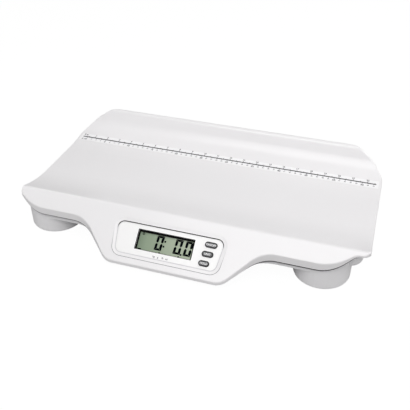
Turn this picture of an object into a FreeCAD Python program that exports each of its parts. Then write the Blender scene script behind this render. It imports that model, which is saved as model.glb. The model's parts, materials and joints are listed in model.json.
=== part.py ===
import FreeCAD, Part
import os

import Sketcher
from FreeCAD import Placement, Rotation, Vector

# A digital baby weighing scale. Frame: X along the tray, to the right seen from the front,
# +Y to the back, +Z up, origin under the middle of the tray on the surface it stands on. Millimetres.

SIZES = [
    # tray: plan
    ("tray_length", 593.0),
    ("tray_depth", 340.0),
    ("base_shift", -12.5),  # the lobes and legs sit left of the tray's middle
    ("nose_shift", -15.5),  # and so does the display housing
    ("wing_inset", 74.0),  # where the rounded back corner meets the back edge, from the side
    ("wing_drop", 24.4),  # where the rounded back corner leaves the side, from the back edge
    ("wing_round", 44.0),
    ("back_round", 150.0),
    ("lobe_setback", 46.2),  # the lobes' front edge behind the display housing's
    ("lobe_inset", 29.0),  # where the lobes' front edge turns back, from the tray's left end
    ("lobe_angle", 28.0),
    ("lobe_round", 88.0),
    ("ear_step", 18.2),
    ("ear_round", 12.0),
    ("tip_round", 7.5),
    ("neck_round", 25.0),
    ("nose_half", 98.0),
    ("nose_root_half", 152.0),
    ("nose_round", 30.0),
    ("root_round", 60.0),
    # tray: section
    ("crest_setback", 70.2),
    ("crest_height", 76.0),
    ("crest_round", 6.0),
    ("apron_tilt", 41.3),
    ("floor_height", 62.2),
    ("front_rise", 18.0),
    ("front_rise_round", 218.0),
    ("floor_to_back", 78.0),
    ("back_rise", 10.0),
    ("back_rise_round", 330.0),
    ("wall_setback", 29.2),
    ("wall_slope", 63.0),
    ("wall_round", 39.0),
    ("lip_round", 7.0),
    ("tray_wall", 3.0),
    ("edge_round", 2.5),
    ("rim_drop", 8.0),
    ("lip_height", 91.0),
    ("lobe_rim_height", 42.5),
    ("nose_rim_height", 8.9),
    # lower shell and legs
    ("seam_gap", 0.3),
    ("skirt_gap", 0.4),
    ("tub_wall", 2.5),
    ("tub_bottom", 33.0),
    ("tub_side_inset", 10.0),
    ("tub_back_inset", 53.0),
    ("tub_round", 13.0),
    ("tub_corner_round", 48.0),
    ("tub_front_round", 20.0),
    ("nose_lip", 2.0),  # how far the lower shell shows below the rim beside the display housing
    ("nose_break", 49.0),  # where the tub's floor turns down to the display housing
    ("leg_setback", 49.0),  # the front legs' axes behind the lobes' front edge
    ("leg_back_inset", 51.8),  # the back legs' axes in front of the tub's back
    ("leg_radius", 46.2),
    ("leg_foot_radius", 45.9),
    ("leg_lift", 1.5),
    ("leg_edge", 2.4),
    ("leg_wall", 2.5),
    # feet and load cells
    ("foot_hole", 35.0),
    ("foot_gap", 0.5),
    ("foot_flange", 2.5),
    ("foot_flange_height", 1.7),
    ("foot_boss", 6.0),
    ("foot_travel", 0.8),
    ("boss_play", 0.1),
    ("sole_radius", 33.0),
    ("sole_height", 2.0),
    ("holder_half", 30.2),
    ("holder_post", 3.2),
    ("holder_height", 6.0),
    ("holder_plate", 2.0),
    ("holder_window", 24.0),
    ("cell_side", 34.0),
    ("cell_height", 2.5),
    ("cell_slot", 2.0),
    ("cell_tongue", 7.0),  # half the tongue's width
    ("cell_border", 7.0),
    ("cell_screw_spacing", 28.0),
    # control panel, in the apron's own plane
    ("recess_top", 19.5),
    ("recess_length", 64.0),
    ("recess_top_half", 98.5),
    ("recess_end_half", 90.5),
    ("recess_round", 17.0),
    ("recess_depth", 2.0),
    ("bevel_depth", 0.6),
    ("recess_bevel", 6.0),
    ("recess_lip", 0.1),
    ("plate_thick", 0.8),
    ("plate_gap", 0.3),
    ("glue_gap", 0.1),
    ("window_left", -52.6),
    ("window_length", 95.8),
    ("window_top", 34.4),
    ("window_height", 32.7),
    ("frame_border", 2.0),
    ("frame_gap", 0.3),
    ("lip_left", 2.0),
    ("lip_top", 3.0),
    ("lip_right", 1.9),
    ("lip_small", 0.7),
    ("glass_top", 4.0),
    ("glass_thick", 2.8),
    ("strip_width", 2.2),
    ("strip_inset", 1.2),
    ("strip_end", 3.0),
    ("board_depth", 8.6),
    ("board_thick", 1.6),
    ("board_half", 90.0),
    ("board_top", 31.0),
    ("board_height", 47.0),
    ("board_room", 5.5),
    ("board_screw_half", 85.0),
    ("board_screw_inset", 5.0),
    ("chip_side", -22.0),
    ("chip_down", 18.0),
    ("chip_radius", 8.0),
    ("chip_height", 1.4),
    ("buzzer_side", -66.0),
    ("buzzer_down", 14.0),
    ("buzzer_radius", 6.0),
    ("buzzer_height", 4.5),
    ("plug_side", 24.0),
    ("plug_down", 6.0),
    ("plug_length", 16.0),
    ("plug_width", 7.0),
    ("plug_height", 5.0),
    # push buttons
    ("key_first", 70.1),
    ("key_step_side", 2.55),
    ("key_first_down", 36.9),
    ("key_pitch", 15.4),
    ("key_length", 20.0),
    ("key_shrink", 1.25),
    ("key_height", 9.0),
    ("key_proud", 1.6),
    ("key_gap", 0.35),
    ("key_flange", 1.0),
    ("key_flange_thick", 0.9),
    ("key_rest_gap", 0.3),
    ("key_travel", 0.8),
    ("pin_play", 0.2),
    ("switch_side", 6.0),
    ("switch_height", 3.0),
    ("switch_floor", 0.6),
    ("plunger_radius", 1.6),
    ("plunger_gap", 0.25),
    # battery box
    ("cell_count", 4.0),
    ("battery_radius", 7.15),
    ("battery_length", 50.0),
    ("battery_pitch", 14.9),
    ("battery_nub", 1.0),
    ("battery_room", 0.5),
    ("battery_gap", 0.2),
    ("box_wall", 4.0),
    ("box_half", 28.5),
    ("box_back_inset", 8.6),
    ("box_ceiling", 50.3),
    ("box_roof", 2.2),
    ("door_thick", 2.0),
    ("door_half", 35.7),
    ("door_gap", 0.3),
    ("rail_width", 1.4),
    ("rail_height", 0.9),
    ("rail_gap", 0.1),
    ("bay_front", 3.0),  # the door's front end in front of the cells' space
    ("groove_half", 14.0),
    ("groove_width", 1.6),
    ("groove_depth", 0.6),
    ("groove_pitch", 4.0),
    ("groove_inset", 12.0),
    ("contact_half", 5.0),
    ("contact_thick", 0.5),
    ("contact_gap", 0.05),
    ("leaf_half", 4.5),
    ("leaf_tip", 0.8),
    ("leaf_thick", 0.4),
    ("leaf_width", 6.0),
    # fasteners
    ("screw_shaft", 1.25),
    ("screw_head", 3.1),
    ("screw_head_height", 2.2),
    ("screw_length", 14.0),
    ("post_radius", 5.0),
    ("post_top", 52.0),
    ("screw_seat", 44.0),
    ("boss_radius", 4.5),
    ("boss_gap", 0.3),
    ("screw_x", 120.0),
    ("screw_front", 60.0),
    ("screw_back", 95.0),
    ("screw_mid_x", 60.0),
    ("screw_mid", 84.0),
    ("small_shaft", 0.9),
    ("small_head", 2.1),
    ("small_head_height", 1.4),
    ("small_boss", 3.0),
    ("small_pin", 5.5),
    ("pilot_gap", 0.05),
    ("hole_gap", 0.25),
    ("head_gap", 0.3),
    ("merge", 0.5),  # how far one piece of a solid reaches into the next
    ("overrun", 30.0),
]

doc = FreeCAD.newDocument("BabyScale")
sheet = doc.addObject("Spreadsheet::Sheet", "Sizes")
for row, (alias, number) in enumerate(SIZES, start=1):
    sheet.set(f"A{row}", alias)
    sheet.set(f"B{row}", str(number))
    sheet.setAlias(f"B{row}", alias)
doc.recompute()

ALIASES = {alias for alias, _ in SIZES}
PARTS = {}


def formula(text):
    """Give every alias in an arithmetic text its sheet's name, as expressions need."""
    words, word = [], ""
    for letter in text + " ":
        if letter.isalnum() or letter == "_":
            word += letter
            continue
        words.append("Sizes." + word if word in ALIASES else word)
        words.append(letter)
        word = ""
    return "".join(words).strip()


def size(text):
    """The number that an arithmetic text of aliases gives."""
    result = sheet.evalExpression(formula(text))
    return float(getattr(result, "Value", result))


def bind(thing, **properties):
    """Bind each property of an object to an arithmetic text of aliases."""
    for name, text in properties.items():
        thing.setExpression(name.replace("__", "."), formula(text))


def keep(label, thing):
    """Name a finished sub-part; its label is also its file's name."""
    thing.Label = label
    PARTS[label] = thing
    return thing


# Places that several pieces share, as texts of aliases.
FRONT = "(0 - tray_depth / 2)"
BACK = "(tray_depth / 2)"
CREST_Y = f"({FRONT} + crest_setback)"
LOBE_Y = f"({FRONT} + lobe_setback)"
EAR_Y = f"({LOBE_Y} + ear_step)"
WALL_FOOT_Y = f"({BACK} - wall_setback)"
FLOOR_BACK_Y = f"({FRONT} + tray_depth - floor_to_back)"
WALL_FOOT_Z = "(floor_height + (floor_to_back - wall_setback) * tan(back_rise * 1deg))"
FRONT_FOOT_Y = f"({CREST_Y} + (crest_height - floor_height) / tan(front_rise * 1deg))"
NOSE_SLOPE = "((lobe_rim_height - nose_rim_height) / lobe_setback)"
TUB_BACK_Y = f"({BACK} - tub_back_inset)"
SHOULDER_Y = f"({EAR_Y} + tub_side_inset)"
LOBE_HALF = "(tray_length / 2 + base_shift - lobe_inset)"
LEG_HALF = "(tray_length / 2 + base_shift - leg_radius)"
LEG_FRONT_Y = f"({LOBE_Y} + leg_setback)"
LEG_BACK_Y = f"({TUB_BACK_Y} - leg_back_inset)"
LEG_FLOOR = "(leg_lift + leg_wall)"
BOARD_BACK = "(0 - board_depth - board_thick)"


def body(name):
    return doc.addObject("PartDesign::Body", name)


def plane(owner, role):
    return next(f for f in owner.Origin.OriginFeatures if f.Role == role)


def polygon(owner, name, role, corners):
    """A closed sketch whose corners are texts of aliases, each held by two bound distances."""
    sketch = owner.newObject("Sketcher::SketchObject", name)
    sketch.AttachmentSupport = [(plane(owner, role), "")]
    sketch.MapMode = "FlatFace"
    points = [Vector(size(a), size(b), 0) for a, b in corners]
    count = len(points)
    for index, point in enumerate(points):
        sketch.addGeometry(Part.LineSegment(point, points[(index + 1) % count]), False)
    for index in range(count):
        sketch.addConstraint(Sketcher.Constraint("Coincident", index, 2, (index + 1) % count, 1))
    for index, corner in enumerate(corners):
        for kind, text, number in zip(("DistanceX", "DistanceY"), corner, points[index]):
            rule = sketch.addConstraint(Sketcher.Constraint(kind, -1, 1, index, 1, number))
            sketch.setExpression(f"Constraints[{rule}]", formula(text))
    return sketch


def grow(owner, name, sketch, length, kind="Pad", symmetric=False, reverse=False, taper=None):
    """Pad or pocket a sketch by a bound length."""
    feature = owner.newObject(f"PartDesign::{kind}", name)
    feature.Profile = sketch
    feature.SideType = "Symmetric" if symmetric else "One side"
    feature.Reversed = reverse
    bind(feature, Length=length)
    if taper:
        bind(feature, TaperAngle=taper)
    doc.recompute()
    return feature


def spin(owner, name, sketch):
    """Revolve a sketch of the XZ plane about the upright axis."""
    feature = owner.newObject("PartDesign::Revolution", name)
    feature.Profile = sketch
    feature.ReferenceAxis = (plane(owner, "Z_Axis"), "")
    feature.Angle = 360.0
    doc.recompute()
    return feature


def edges_along(shape, direction, spots, slack=0.02):
    """Names of the straight edges along an axis that pass through the given (a, b) spots."""
    first, second = {"X": ("y", "z"), "Y": ("x", "z"), "Z": ("x", "y")}[direction]
    names = []
    for index, edge in enumerate(shape.Edges, start=1):
        start, end = (vertex.Point for vertex in (edge.Vertexes[0], edge.Vertexes[-1]))
        still = all(abs(getattr(start, k) - getattr(end, k)) < slack for k in (first, second))
        if not still or (start - end).Length < slack:
            continue
        for a, b in spots:
            if abs(getattr(start, first) - a) < slack and abs(getattr(start, second) - b) < slack:
                names.append(f"Edge{index}")
    return names


def soften(owner, name, base, direction, corners, radius):
    """Round the edges of a feature that pass through the given corners (texts of aliases)."""
    spots = [(size(a), size(b)) for a, b in corners]
    names = edges_along(base.Shape, direction, spots)
    if len(names) < len(corners):
        raise RuntimeError(f"{name}: {len(names)} edges found for {len(corners)} corners")
    feature = owner.newObject("PartDesign::Fillet", name)
    feature.Base = (base, names)
    bind(feature, Radius=radius)
    owner.Tip = feature
    doc.recompute()
    return feature


def boolean(kind, name, first, second):
    feature = doc.addObject(f"Part::{kind}", name)
    feature.Base = first
    feature.Tool = second
    return feature


def gather(kind, name, things):
    """Fuse, intersect or group several objects."""
    types = {"fuse": "MultiFuse", "common": "MultiCommon", "group": "Compound"}
    feature = doc.addObject(f"Part::{types[kind]}", name)
    setattr(feature, "Links" if kind == "group" else "Shapes", things)
    return feature


def shrink(name, source, distance):
    """The same form, smaller by a distance all round."""
    feature = doc.addObject("Part::Offset", name)
    feature.Source = source
    feature.Join = "Intersection"
    bind(feature, Value=f"0 - ({distance})")
    doc.recompute()
    return feature


def block(name, low, high):
    """A box between two corners, each three texts of aliases."""
    box = doc.addObject("Part::Box", name)
    sides = [f"({b}) - ({a})" for a, b in zip(low, high)]
    bind(box, Length=sides[0], Width=sides[1], Height=sides[2])
    bind(box, Placement__Base__x=low[0], Placement__Base__y=low[1], Placement__Base__z=low[2])
    return box


def bar(name, radius, height, sides=0):
    """A cylinder, or a prism with so many sides for small pins and the holes they sit in."""
    made = doc.addObject("Part::Prism" if sides else "Part::Cylinder", name)
    bind(made, Height=height)
    if sides:
        made.Polygon = sides
        bind(made, Circumradius=radius)
    else:
        bind(made, Radius=radius)
    return made


def rod(name, radius, height, foot, sides=0):
    """An upright bar from its foot's centre."""
    made = bar(name, radius, height, sides)
    bind(made, Placement__Base__x=foot[0], Placement__Base__y=foot[1], Placement__Base__z=foot[2])
    return made


def on_panel(thing, local=(0, 0, 0)):
    """Place an object by local (side, down the slope, out) distances in the apron's plane."""
    tilt = "apron_tilt * 1deg"
    side, down, out = (f"({text})" for text in local)
    bind(thing, Placement__Base__x=f"nose_shift + {side}")
    bind(thing, Placement__Base__y=f"{CREST_Y} - {down} * cos({tilt}) - {out} * sin({tilt})")
    bind(thing, Placement__Base__z=f"crest_height - {down} * sin({tilt}) + {out} * cos({tilt})")
    thing.Placement = Placement(thing.Placement.Base, Rotation(Vector(1, 0, 0), size("apron_tilt")))
    bind(thing, Placement__Rotation__Angle="apron_tilt * 1deg")
    return thing


def panel_block(name, low, high):
    """A box in the apron's plane: corners as (side, down, out), down and out being positive numbers."""
    box = doc.addObject("Part::Box", name)
    sides = [f"({b}) - ({a})" for a, b in zip(low, high)]
    bind(box, Length=sides[0], Width=sides[1], Height=sides[2])
    return on_panel(box, (low[0], high[1], low[2]))


def panel_rod(name, radius, low, high, spot, sides=0):
    """A bar along the apron's normal between two depths."""
    return on_panel(bar(name, radius, f"({high}) - ({low})", sides), (spot[0], spot[1], low))


# ---------------------------------------------------------------- forms shared by the two shells


def platter_form():
    """Everything under the tray's top surface: its section, carried along the tray."""
    form = body("platter_form")
    crest = (CREST_Y, "crest_height")
    front_foot = (FRONT_FOOT_Y, "floor_height")
    back_foot = (FLOOR_BACK_Y, "floor_height")
    wall_foot = (WALL_FOOT_Y, WALL_FOOT_Z)
    apex = (BACK, f"{WALL_FOOT_Z} + wall_setback * tan(wall_slope * 1deg)")
    section = [
        (f"{FRONT} - overrun", "crest_height - (crest_setback + overrun) * tan(apron_tilt * 1deg)"),
        crest,
        front_foot,
        back_foot,
        wall_foot,
        apex,
        (BACK, "0 - 2 * overrun"),
        (f"{FRONT} - overrun", "0 - 2 * overrun"),
    ]
    pad = grow(form, "platter_pad", polygon(form, "platter_section", "YZ_Plane", section),
               "tray_length + overrun", symmetric=True)
    step = soften(form, "crest_rounding", pad, "X", [crest], "crest_round")
    step = soften(form, "front_rise_rounding", step, "X", [front_foot], "front_rise_round")
    step = soften(form, "back_rise_rounding", step, "X", [back_foot], "back_rise_round")
    step = soften(form, "wall_rounding", step, "X", [wall_foot], "wall_round")
    soften(form, "lip_rounding", step, "X", [apex], "lip_round")
    return form


def rim_form():
    """Everything under the skirt's lower edge, to be cut away from the tray."""
    form = body("rim_form")
    front_foot = (FRONT_FOOT_Y, "floor_height - rim_drop")
    back_foot = (FLOOR_BACK_Y, "floor_height - rim_drop")
    wall_foot = (WALL_FOOT_Y, f"{WALL_FOOT_Z} - rim_drop")
    lip_y = f"{WALL_FOOT_Y} + (lip_height - {WALL_FOOT_Z} + rim_drop) / tan(wall_slope * 1deg)"
    section = [
        (f"{FRONT} - overrun", f"nose_rim_height - overrun * {NOSE_SLOPE}"),
        (LOBE_Y, "lobe_rim_height"),
        (EAR_Y, "crest_height - rim_drop"),
        (CREST_Y, "crest_height - rim_drop"),
        front_foot,
        back_foot,
        wall_foot,
        (lip_y, "lip_height"),
        (f"{BACK} + overrun", "lip_height"),
        (f"{BACK} + overrun", "0 - 3 * overrun"),
        (f"{FRONT} - overrun", "0 - 3 * overrun"),
    ]
    pad = grow(form, "rim_pad", polygon(form, "rim_section", "YZ_Plane", section),
               "tray_length + 2 * overrun", symmetric=True)
    step = soften(form, "rim_front_rounding", pad, "X", [front_foot], "front_rise_round")
    step = soften(form, "rim_back_rounding", step, "X", [back_foot], "back_rise_round")
    soften(form, "rim_wall_rounding", step, "X", [wall_foot], "wall_round")
    return form


def plan_form():
    """The tray's outline seen from above, carried upright."""
    form = body("plan_form")
    half = "tray_length / 2"
    rise = "tan(lobe_angle * 1deg)"
    wing_side = [(half, f"{BACK} - wing_drop"), (f"0 - {half}", f"{BACK} - wing_drop")]
    wing_back = [(f"{half} - wing_inset", BACK), (f"0 - {half} + wing_inset", BACK)]
    tip = (f"0 - {half}", f"{LOBE_Y} + lobe_inset * {rise}")
    lobes = [(f"base_shift - {LOBE_HALF}", LOBE_Y), (f"base_shift + {LOBE_HALF}", LOBE_Y)]
    roots = [("nose_shift - nose_root_half", LOBE_Y), ("nose_shift + nose_root_half", LOBE_Y)]
    nose = [("nose_shift - nose_half", FRONT), ("nose_shift + nose_half", FRONT)]
    neck = (f"base_shift + {LOBE_HALF} + ear_step / {rise}", EAR_Y)
    ear = (half, EAR_Y)
    outline = [wing_side[0], wing_back[0], wing_back[1], wing_side[1], tip, lobes[0], roots[0],
               nose[0], nose[1], roots[1], lobes[1], neck, ear]
    pad = grow(form, "plan_pad", polygon(form, "plan_outline", "XY_Plane", outline),
               "8 * overrun", symmetric=True)
    step = soften(form, "wing_rounding", pad, "Z", wing_side, "wing_round")
    step = soften(form, "back_rounding", step, "Z", wing_back, "back_round")
    step = soften(form, "tip_rounding", step, "Z", [tip], "tip_round")
    step = soften(form, "neck_rounding", step, "Z", [neck], "neck_round")
    step = soften(form, "lobe_rounding", step, "Z", lobes, "lobe_round")
    step = soften(form, "root_rounding", step, "Z", roots, "root_round")
    step = soften(form, "nose_rounding", step, "Z", nose, "nose_round")
    soften(form, "ear_rounding", step, "Z", [ear], "ear_round")
    return form


def tub_form():
    """The lower shell's flat tub, its corners and its bottom edge rounded."""
    form = body("tub_form")
    half = "(tray_length / 2 - tub_side_inset)"
    back = [(half, TUB_BACK_Y), (f"0 - {half}", TUB_BACK_Y)]
    front = [(f"0 - {half}", SHOULDER_Y), (half, SHOULDER_Y)]
    pad = grow(form, "tub_pad", polygon(form, "tub_plan", "XY_Plane", back + front), "4 * overrun")
    step = soften(form, "tub_back_corners", pad, "Z", back, "tub_corner_round")
    step = soften(form, "tub_front_corners", step, "Z", front, "tub_front_round")
    bottom = [f"Edge{index}" for index, edge in enumerate(step.Shape.Edges, start=1)
              if edge.BoundBox.ZMax < size("merge")]
    edge_rounding = form.newObject("PartDesign::Fillet", "tub_bottom_edge")
    edge_rounding.Base = (step, bottom)
    bind(edge_rounding, Radius="tub_round")
    form.Tip = edge_rounding
    bind(form, Placement__Base__z="tub_bottom")
    return form


def front_form():
    """The tub's front: flat under the lobes, then down along the display housing's rim."""
    form = body("front_form")
    turn_y = f"{LOBE_Y} - (lobe_rim_height - nose_lip - tub_bottom) / {NOSE_SLOPE}"
    section = [
        ("0", "tub_bottom"),
        ("0", "4 * overrun"),
        (f"{FRONT} - overrun", "4 * overrun"),
        (f"{FRONT} - overrun", f"nose_rim_height - nose_lip - overrun * {NOSE_SLOPE}"),
        (turn_y, "tub_bottom"),
    ]
    grow(form, "front_pad", polygon(form, "front_section", "YZ_Plane", section),
         f"2 * {LEG_HALF}", symmetric=True)
    bind(form, Placement__Base__x="base_shift")
    return form


def housing_form():
    """The deeper part under the display, as wide as the board and its room."""
    form = body("housing_form")
    break_y = f"({FRONT} + nose_break)"
    floor = "(nose_rim_height - nose_lip)"
    section = [
        ("0", "tub_bottom"),
        ("0", "4 * overrun"),
        (f"{FRONT} - overrun", "4 * overrun"),
        (f"{FRONT} - overrun", floor),
        (f"{break_y} - (tub_bottom - {floor}) / tan(apron_tilt * 1deg)", floor),
        (break_y, "tub_bottom"),
    ]
    grow(form, "housing_pad", polygon(form, "housing_section", "YZ_Plane", section),
         "2 * (board_half + board_room)", symmetric=True)
    bind(form, Placement__Base__x="nose_shift")
    return form


def check(stage):
    """Stop if anything in the document failed."""
    doc.recompute()
    for thing in doc.Objects:
        if "Invalid" in thing.State or "Error" in thing.State:
            raise RuntimeError(f"{stage}: {thing.Name} is {thing.State}")


platter = platter_form()
rim = rim_form()
plan = plan_form()
tub_parts = {"tub": tub_form(), "front": front_form(), "housing": housing_form()}
check("forms")


def recess_form(name, inset, depth, corner_round, reverse=True):
    """A rounded trapezium in the apron's plane, inset from the recess's edge."""
    form = body(name)
    lean = "((recess_top_half - recess_end_half) / recess_length)"
    slant = f"sqrt(1 + {lean} ^ 2)"
    top_half = f"(recess_top_half - {inset} * ({slant} + {lean}))"
    end_half = f"(recess_end_half - {inset} * ({slant} - {lean}))"
    top = f"0 - recess_top - {inset}"
    end = f"{inset} - recess_top - recess_length"
    corners = [(f"0 - {end_half}", end), (end_half, end), (top_half, top), (f"0 - {top_half}", top)]
    pad = grow(form, name + "_pad", polygon(form, name + "_outline", "XY_Plane", corners), depth,
               reverse=reverse)
    return form, soften(form, name + "_corners", pad, "Z", corners, corner_round)


def make_recess():
    """The recess in the apron: a shallow bevel round the seat of the panel plate."""
    bevel, rounded = recess_form("bevel_form", "0", "bevel_depth", "recess_round")
    faces = rounded.Shape.Faces
    floor = min(range(len(faces)), key=lambda i: faces[i].CenterOfMass.z)
    slope = bevel.newObject("PartDesign::Chamfer", "recess_slope")
    slope.Base = (rounded, [f"Face{floor + 1}"])
    slope.ChamferType = "Two distances"
    bind(slope, Size="bevel_depth - recess_lip", Size2="recess_bevel")
    bevel.Tip = slope
    seat, _ = recess_form("seat_form", "recess_bevel", "recess_depth", "recess_round - recess_bevel")
    return [on_panel(bevel), on_panel(seat)]


def key_spot(index):
    """Side and down-slope distances of a push button's centre, and its length."""
    return (f"key_first - {index} * key_step_side", f"key_first_down + {index} * key_pitch",
            f"(key_length - {index} * key_shrink)")


def pill(name, spot, length, height, low, high, margin="0"):
    """A round-ended bar along the panel's normal, as a button and its holes are."""
    side, down = spot
    end_round = f"({height} / 2 + {margin})"
    reach = f"({length} / 2 - {height} / 2)"
    middle = panel_block(name + "_bar", (f"{side} - {reach}", f"{down} - {end_round}", low),
                         (f"{side} + {reach}", f"{down} + {end_round}", high))
    ends = [panel_rod(f"{name}_{end}", end_round, low, high, (f"{side} {sign} {reach}", down))
            for end, sign in (("left", "-"), ("right", "+"))]
    return gather("fuse", name, [middle, *ends])


SCREW_SPOTS = [
    (f"base_shift {sign} {side}", y)
    for side, y in (("screw_x", "0 - screw_front"), ("screw_x", "screw_back"),
                    ("screw_mid_x", "0 - screw_mid"))
    for sign in "-+"
]
BOARD_SPOTS = [
    (f"0 {sign} board_screw_half", down)
    for down in ("board_top + board_screw_inset", "board_top + board_height - board_screw_inset")
    for sign in "-+"
]
PIN_SIDES = 12


def make_tray():
    """The one-piece platter, apron and skirt, with its recess, holes and screw bosses."""
    inner = gather("common", "soft_core", [shrink("platter_soft", platter, "edge_round"),
                                           shrink("plan_soft", plan, "edge_round")])
    doc.recompute()
    blank = doc.addObject("Part::Offset", "tray_blank")
    blank.Source = inner
    blank.Join = "Arc"
    bind(blank, Value="edge_round")
    core = gather("common", "tray_core", [shrink("platter_core", platter, "tray_wall"),
                                          shrink("plan_core", plan, "tray_wall")])
    sheet_form = boolean("Cut", "tray_sheet", boolean("Cut", "tray_trimmed", blank, rim), core)
    check("tray sheet")
    middle = shrink("platter_middle", platter, "tray_wall / 2")
    bosses, pilots = [], []
    for i, (x, y) in enumerate(SCREW_SPOTS):
        bosses.append(rod(f"tray_boss_{i}", "boss_radius", "overrun", (x, y, "post_top + boss_gap")))
        pilots.append(rod(f"tray_pilot_{i}", "screw_shaft + pilot_gap",
                          "screw_seat + screw_length - post_top + 2 * boss_gap", (x, y, "post_top"),
                          PIN_SIDES))
    trimmed = gather("common", "tray_bosses", [gather("fuse", "tray_boss_stock", bosses), middle])
    board_bosses, board_pilots = [], []
    for i, spot in enumerate(BOARD_SPOTS):
        board_bosses.append(panel_rod(f"board_boss_{i}", "small_boss", "0 - board_depth",
                                      "merge - tray_wall", spot))
        board_pilots.append(panel_rod(f"board_pilot_{i}", "small_shaft + pilot_gap",
                                      "0 - board_depth - merge", "0 - tray_wall", spot, PIN_SIDES))
    solid = gather("fuse", "tray_with_bosses", [sheet_form, trimmed, *board_bosses])
    window = panel_block("tray_window",
                         ("window_left - frame_border", "window_top - frame_border", "0 - 2 * tray_wall"),
                         ("window_left + window_length + frame_border",
                          "window_top + window_height + frame_border", "tray_wall"))
    keys = []
    for index in range(3):
        side, down, length = key_spot(index)
        keys.append(pill(f"key_hole_{index}", (side, down), length, "key_height",
                         "0 - 2 * tray_wall", "tray_wall", "key_gap"))
    holes = gather("fuse", "tray_holes", [*make_recess(), window, *keys, *pilots, *board_pilots])
    return keep("tray_shell", boolean("Cut", "tray", solid, holes))


LEG_SPOTS = {
    f"{depth}_{side}": (f"base_shift {sign} {LEG_HALF}", y)
    for depth, y in (("front", LEG_FRONT_Y), ("back", LEG_BACK_Y))
    for side, sign in (("left", "-"), ("right", "+"))
}


def turned(name, profile, spot):
    """A body of revolution from a half profile of (radius, height) texts, standing at a spot."""
    form = body(name)
    spin(form, name + "_turn", polygon(form, name + "_profile", "XZ_Plane", profile))
    bind(form, Placement__Base__x=spot[0], Placement__Base__y=spot[1], Placement__Base__z=spot[2])
    return form


def leg_form(name, spot):
    """A leg's outside: a slightly tapered drum, its foot edge turned in two small bevels."""
    profile = [
        ("0", "leg_lift"),
        ("leg_foot_radius - leg_edge", "leg_lift"),
        ("leg_foot_radius - leg_edge * 0.3", "leg_lift + leg_edge * 0.3"),
        ("leg_foot_radius", "leg_lift + leg_edge"),
        ("leg_radius", "crest_height"),
        ("0", "crest_height"),
    ]
    return turned(name, profile, (*spot, "0"))


def make_lower_shell():
    """The tub with its four hollow legs, screw posts and battery box."""
    seam = shrink("tub_top", platter, "tray_wall + seam_gap")
    outline = shrink("tub_outline", plan, "tray_wall + skirt_gap")
    inline = shrink("tub_inline", plan, "tray_wall + skirt_gap + tub_wall")
    legs = gather("fuse", "legs", [leg_form(f"leg_{name}", spot) for name, spot in LEG_SPOTS.items()])
    under_rim = gather("common", "legs_under_rim", [legs, shrink("rim_lowered", rim, "seam_gap")])
    mass = gather("fuse", "tub_mass", [*tub_parts.values(), legs])
    outside = gather("common", "tub_outside", [seam, outline, mass])
    room = [shrink(f"{name}_room", form, "tub_wall") for name, form in tub_parts.items()]
    cavities, openings = [], []
    for name, spot in LEG_SPOTS.items():
        radius = "leg_foot_radius - leg_wall"
        room.append(rod(f"leg_room_{name}", radius, "4 * overrun", (*spot, LEG_FLOOR)))
        cavities.append(rod(f"leg_cavity_{name}", radius,
                            f"lobe_rim_height - seam_gap - leg_wall - {LEG_FLOOR}", (*spot, LEG_FLOOR)))
        openings.append(rod(f"foot_hole_{name}", "foot_hole", "overrun", (*spot, "0 - overrun / 2")))
    hollow = gather("common", "tub_hollow", [inline, gather("fuse", "tub_room", room)])
    posts, seats, holes = [], [], []
    for i, (x, y) in enumerate(SCREW_SPOTS):
        posts.append(rod(f"post_{i}", "post_radius", "post_top - tub_bottom - merge",
                         (x, y, "tub_bottom + merge")))
        seats.append(rod(f"screw_seat_{i}", "screw_head + head_gap", "screw_seat - tub_bottom + overrun",
                         (x, y, "tub_bottom - overrun")))
        holes.append(rod(f"post_hole_{i}", "screw_shaft + hole_gap", "overrun", (x, y, "tub_bottom"),
                         PIN_SIDES))
    shell = boolean("Cut", "tub_shell", gather("fuse", "tub_solid", [outside, under_rim]),
                    gather("fuse", "tub_cavity", [hollow, *cavities]))
    box, space, door_way = battery_box()
    whole = gather("fuse", "tub_with_posts", [shell, box, *posts])
    cut = gather("fuse", "tub_cuts", [space, door_way, *openings, *seats, *holes])
    return keep("lower_shell", boolean("Cut", "lower", whole, cut))


BOX_BACK = f"({TUB_BACK_Y} - box_back_inset)"
BOX_FRONT = f"({BOX_BACK} - cell_count * battery_pitch - 2 * battery_room)"
DOOR_FRONT = f"({BOX_FRONT} - bay_front)"
DOOR_TOP = "(tub_bottom + door_thick)"


def battery_box():
    """The box's walls, the space in it, and the way that its sliding door runs in."""
    past_back = f"{TUB_BACK_Y} + door_thick"
    half = "(door_half + box_wall)"
    walls = block("box_walls", (f"base_shift - {half}", f"{DOOR_FRONT} - box_wall", "tub_bottom"),
                  (f"base_shift + {half}", f"{TUB_BACK_Y} - merge", "box_ceiling + box_roof"))
    space = block("box_space", ("base_shift - box_half", BOX_FRONT, "tub_bottom"),
                  ("base_shift + box_half", BOX_BACK, "box_ceiling"))
    front, top = f"{DOOR_FRONT} - door_gap", f"{DOOR_TOP} + door_gap"
    half = "(door_half + door_gap)"
    slab = block("door_bay", (f"base_shift - {half}", front, "0"), (f"base_shift + {half}", past_back, top))
    half = "(door_half + rail_width + door_gap)"
    rails = block("door_rails", (f"base_shift - {half}", front, f"{DOOR_TOP} - rail_height - 2 * rail_gap"),
                  (f"base_shift + {half}", past_back, top))
    return walls, space, gather("fuse", "door_way", [slab, rails])


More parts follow.
